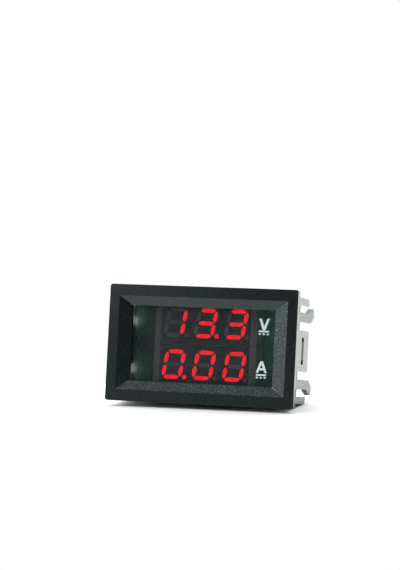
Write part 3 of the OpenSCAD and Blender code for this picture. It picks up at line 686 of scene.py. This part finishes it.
def floor():
    me = bpy.data.meshes.new("floor")
    s = 1500.0
    co = [(x * MM, y * MM, (FLOOR_Z + FLOOR_SLOPE * y + 0.008 * x) * MM) for x, y in ((-s, -60), (s, -60), (s, 34), (-s, 34))]
    me.from_pydata(co, [], [(0, 1, 2, 3)])
    ob = bpy.data.objects.new("floor", me)
    bpy.context.scene.collection.objects.link(ob)
    m, nt, b, _ = new_mat("floor_pale")
    v = coords(nt)
    nt.links.new(ramp(nt, noise(nt, v, 8, 2), [(0.3, (0.86, 0.86, 0.86)), (0.7, (0.88, 0.88, 0.88))]), b.inputs["Base Color"])
    b.inputs["Roughness"].default_value = 0.9
    b.inputs["Specular IOR Level"].default_value = 0.0
    # one-sided, so that a view from below looks through it
    geo = nt.nodes.new("ShaderNodeNewGeometry")
    clear = nt.nodes.new("ShaderNodeBsdfTransparent")
    mix = nt.nodes.new("ShaderNodeMixShader")
    out = next(n for n in nt.nodes if n.type == "OUTPUT_MATERIAL")
    nt.links.new(geo.outputs["Backfacing"], mix.inputs[0])
    nt.links.new(b.outputs[0], mix.inputs[1])
    nt.links.new(clear.outputs[0], mix.inputs[2])
    nt.links.new(mix.outputs[0], out.inputs["Surface"])
    me.materials.append(m)


floor()


def world():
    w = bpy.data.worlds.new("studio")
    bpy.context.scene.world = w
    w.use_nodes = True
    nt = w.node_tree
    for n in list(nt.nodes):
        nt.nodes.remove(n)
    out = nt.nodes.new("ShaderNodeOutputWorld")
    tc = nt.nodes.new("ShaderNodeTexCoord")
    sep = nt.nodes.new("ShaderNodeSeparateXYZ")
    nt.links.new(tc.outputs["Generated"], sep.inputs[0])

    def lobe(direction, lo, hi, gain):
        d = Vector(direction).normalized()
        n = nt.nodes.new("ShaderNodeVectorMath")
        n.operation = "DOT_PRODUCT"
        nt.links.new(tc.outputs["Generated"], n.inputs[0])
        n.inputs[1].default_value = d
        return map_range(nt, n.outputs["Value"], lo, hi, 0.0, gain, True)

    back = lobe((0.10, 1, 0.05), 0.46, 0.92, 2.55)           # bright sweep behind the meter
    # it is there to be mirrored in the side walls; it lights matt surfaces only weakly
    lp = nt.nodes.new("ShaderNodeLightPath")
    back = math_node(nt, "MULTIPLY", back, map_range(nt, lp.outputs["Is Glossy Ray"], 0.0, 1.0, 0.30, 1.0))
    total = lobe((-0.90, -0.42, 0.08), 0.66, 0.95, 1.60)   # softbox on the left
    for args in (((0, 0.38, 1), 0.50, 0.95, 2.15),          # softbox overhead, behind the bezel
                 ((-0.94, 0.15, 0.40), 0.62, 0.95, 2.5),    # strips at the sides light the floor under the bezel's ends
                 ((0.94, 0.15, 0.32), 0.74, 0.95, 0.6),
                 ((-0.294, -0.549, 0.772), 0.82, 0.99, 0.80),  # small panel above the camera, for the lower slope
                 ((0.9, -0.45, 0.1), 0.86, 0.98, 0.3)):    # weak fill on the right
        total = math_node(nt, "ADD", total, lobe(*args))
    total = math_node(nt, "ADD", total, 0.075)
    parts = []
    for colour, level in (((0.97, 1.0, 0.95), back), ((0.98, 1.0, 1.0), total)):
        bg = nt.nodes.new("ShaderNodeBackground")
        bg.inputs["Color"].default_value = (*colour, 1)
        nt.links.new(level, bg.inputs["Strength"])
        parts.append(bg)
    add = nt.nodes.new("ShaderNodeAddShader")
    nt.links.new(parts[0].outputs[0], add.inputs[0])
    nt.links.new(parts[1].outputs[0], add.inputs[1])
    white = nt.nodes.new("ShaderNodeBackground")
    white.inputs["Color"].default_value = (1, 1, 1, 1)
    white.inputs["Strength"].default_value = 1.0
    mix = nt.nodes.new("ShaderNodeMixShader")
    nt.links.new(lp.outputs["Is Camera Ray"], mix.inputs[0])
    nt.links.new(add.outputs[0], mix.inputs[1])
    nt.links.new(white.outputs[0], mix.inputs[2])
    nt.links.new(mix.outputs[0], out.inputs["Surface"])


world()


def area(name, loc, target, size, power, color=(1, 1, 1), glossy=False):
    li = bpy.data.lights.new(name, "AREA")
    li.shape = "RECTANGLE"
    li.size, li.size_y = size
    li.energy = power
    li.color = color
    ob = bpy.data.objects.new(name, li)
    bpy.context.scene.collection.objects.link(ob)
    ob.location = loc
    ob.rotation_euler = (Vector(target) - Vector(loc)).to_track_quat("-Z", "Y").to_euler()
    ob.visible_camera = False
    ob.visible_glossy = glossy
    return ob


area("overhead", (0.0, 0.18, 0.57), (0, 0, 0), (0.6, 0.5), 1.6)
# small softbox high on the left in front: the flat of the bezel is lightest there and darkens to the lower right
area("front_left", (-0.072, -0.125, 0.040), (-0.020, -0.005, 0.012), (0.050, 0.032), 0.0080, (0.97, 1.0, 1.0), True)
# daylight that gets in between the snap arms and the tongues and pools on the ends of the board
for sz in (-1, 1):
    tag = "low" if sz < 0 else "high"
    area("left_slot_" + tag, (-0.0218, 0.0070, sz * 0.0060), (-0.0203, 0.0094, sz * 0.0058), (0.0012, 0.0018), 1.15e-4, (1.0, 0.66, 0.74), True)
    area("right_slot_" + tag, (0.0207, 0.0050, sz * 0.0056), (0.0150, 0.0094, sz * 0.0042), (0.0012, 0.0018), 2.0e-4 if sz < 0 else 3.0e-4, (0.76, 1.0, 0.86))

# ---------------------------------------------------------------- camera

cam = bpy.data.cameras.new("camera")
cam.sensor_fit = "AUTO"
cam.sensor_width = 36.0
cam.lens = 2000.0 * 36.0 / 570.0
cam.clip_start = 0.01
cam.clip_end = 20.0
co = bpy.data.objects.new("camera", cam)
bpy.context.scene.collection.objects.link(co)
right = Vector((0.95521699, 0.29145498, 0.05113218))
up = Vector((-0.03294654, -0.06696907, 0.99721095))
fwd = Vector((-0.29406637, 0.95423747, 0.05436756))
rot = Matrix((right, up, -fwd)).transposed()
co.matrix_world = Matrix.Translation(Vector((142.855, -468.4005, -11.797)) * MM) @ rot.to_4x4()
bpy.context.scene.camera = co

vs = bpy.context.scene.view_settings
vs.view_transform = "Standard"
vs.look = "None"
vs.exposure = 0.0
vs.gamma = 1.0
